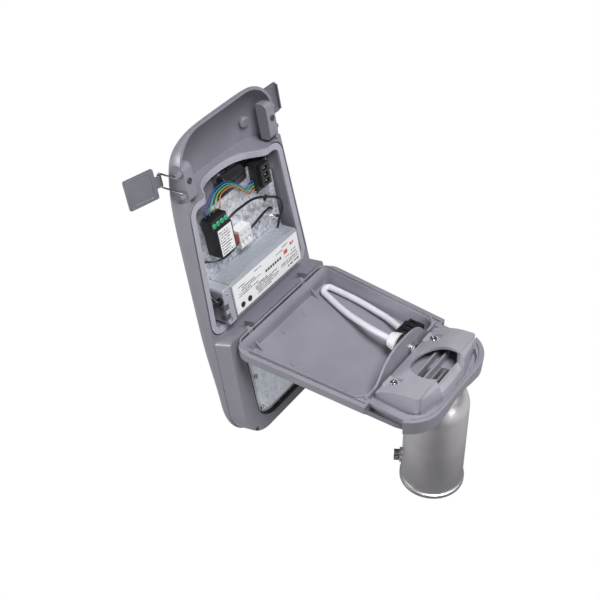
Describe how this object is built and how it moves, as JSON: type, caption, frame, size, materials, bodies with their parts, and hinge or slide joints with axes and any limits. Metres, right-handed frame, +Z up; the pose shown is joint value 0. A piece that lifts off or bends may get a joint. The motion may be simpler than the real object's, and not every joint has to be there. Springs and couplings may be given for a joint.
{
  "type": "led street light head",
  "caption": "Street light head with an LED panel, its lid hinged open over a tray on a pole-top spigot, gear and cable inside, and two wire latches.",
  "frame": {"origin": "centre of the spigot's mouth, where the pole enters", "axes": "+Z up along the spigot, +X from the lid's hinge towards the pole end, +Y across"},
  "size_m": [0.4373, 0.2996, 0.493],
  "materials": {
    "cast_aluminium": "satin",
    "bright_aluminium": "satin",
    "steel": "polished",
    "galvanised_steel": "satin",
    "seal_rubber": "matte",
    "black_plastic": "satin",
    "grey_plastic": "satin",
    "white_plastic": "satin",
    "green_plastic": "satin",
    "white_label": "matte",
    "clear_lens": "gloss",
    "cable_sleeve": "matte",
    "black_sleeve": "matte",
    "coloured_wire": "satin"
  },
  "bodies": {
    "base": {"base_connector": "black_plastic", "cable_gland": "white_plastic", "connector_contacts": "steel", "gland_clamp": "black_plastic", "gland_nut": "white_plastic", "gland_ring": "steel", "hinge_pins": "steel", "inlet_cable": "cable_sleeve", "saddle_block": "bright_aluminium", "saddle_screws": "steel", "set_screws": "steel", "spigot": "cast_aluminium", "tray": "cast_aluminium"},
    "lid": {"branch_cable": "black_sleeve", "disconnect_socket": "black_plastic", "driver_case": "grey_plastic", "driver_end_cap": "grey_plastic", "driver_label": "white_label", "driver_lead": "black_sleeve", "driver_plugs": "white_plastic", "ear_screws": "steel", "gear_plate": "galvanised_steel", "housing": "cast_aluminium", "lead_grommet": "black_plastic", "led_plate": "bright_aluminium", "led_screws": "steel", "lens_array": "clear_lens", "link_black": "black_sleeve", "link_white": "cable_sleeve", "loop_cable": "black_sleeve", "plate_screws": "steel", "seal_gasket": "seal_rubber", "surge_block": "white_label", "surge_canister": "black_plastic", "surge_terminals": "green_plastic", "tip_screw": "steel", "wire_block": "white_plastic", "wire_blue": "coloured_wire", "wire_earth": "coloured_wire", "wire_orange": "coloured_wire", "wire_teal": "coloured_wire"},
    "left_bail": {"left_bail": "steel"},
    "right_bail": {"right_bail": "steel"},
    "left_flap": {"left_flap": "galvanised_steel"},
    "right_flap": {"right_flap": "galvanised_steel"}
  },
  "joints": [
    {"name": "lid_hinge", "type": "hinge", "parent": "base", "child": "lid", "pos_m": [-0.2745, 0, 0.1825], "axis": [0, 1, 0], "range_deg": [0, 99.4]},
    {"name": "left_bail_hinge", "type": "hinge", "parent": "lid", "child": "left_bail", "pos_m": [-0.33678, -0.1, 0.43015], "axis": [0.1633, 0, -0.9866], "range_deg": [-175, 0]},
    {"name": "left_flap_hinge", "type": "hinge", "parent": "left_bail", "child": "left_flap", "pos_m": [-0.37324, -0.09806, 0.42412], "axis": [0.1633, 0, -0.9866], "range_deg": [-0.5, 251.5]},
    {"name": "right_bail_hinge", "type": "hinge", "parent": "lid", "child": "right_bail", "pos_m": [-0.33678, 0.1, 0.43015], "axis": [-0.1633, 0, 0.9866], "range_deg": [-175, 0]},
    {"name": "right_flap_hinge", "type": "hinge", "parent": "right_bail", "child": "right_flap", "pos_m": [-0.37324, 0.09806, 0.42412], "axis": [-0.1633, 0, 0.9866], "range_deg": [-0.5, 271.5]}
  ],
  "couplings": [
    {"joint": "left_flap_hinge", "follows": "left_bail_hinge", "ratio": -1.4343},
    {"joint": "right_flap_hinge", "follows": "right_bail_hinge", "ratio": -1.5486}
  ]
}
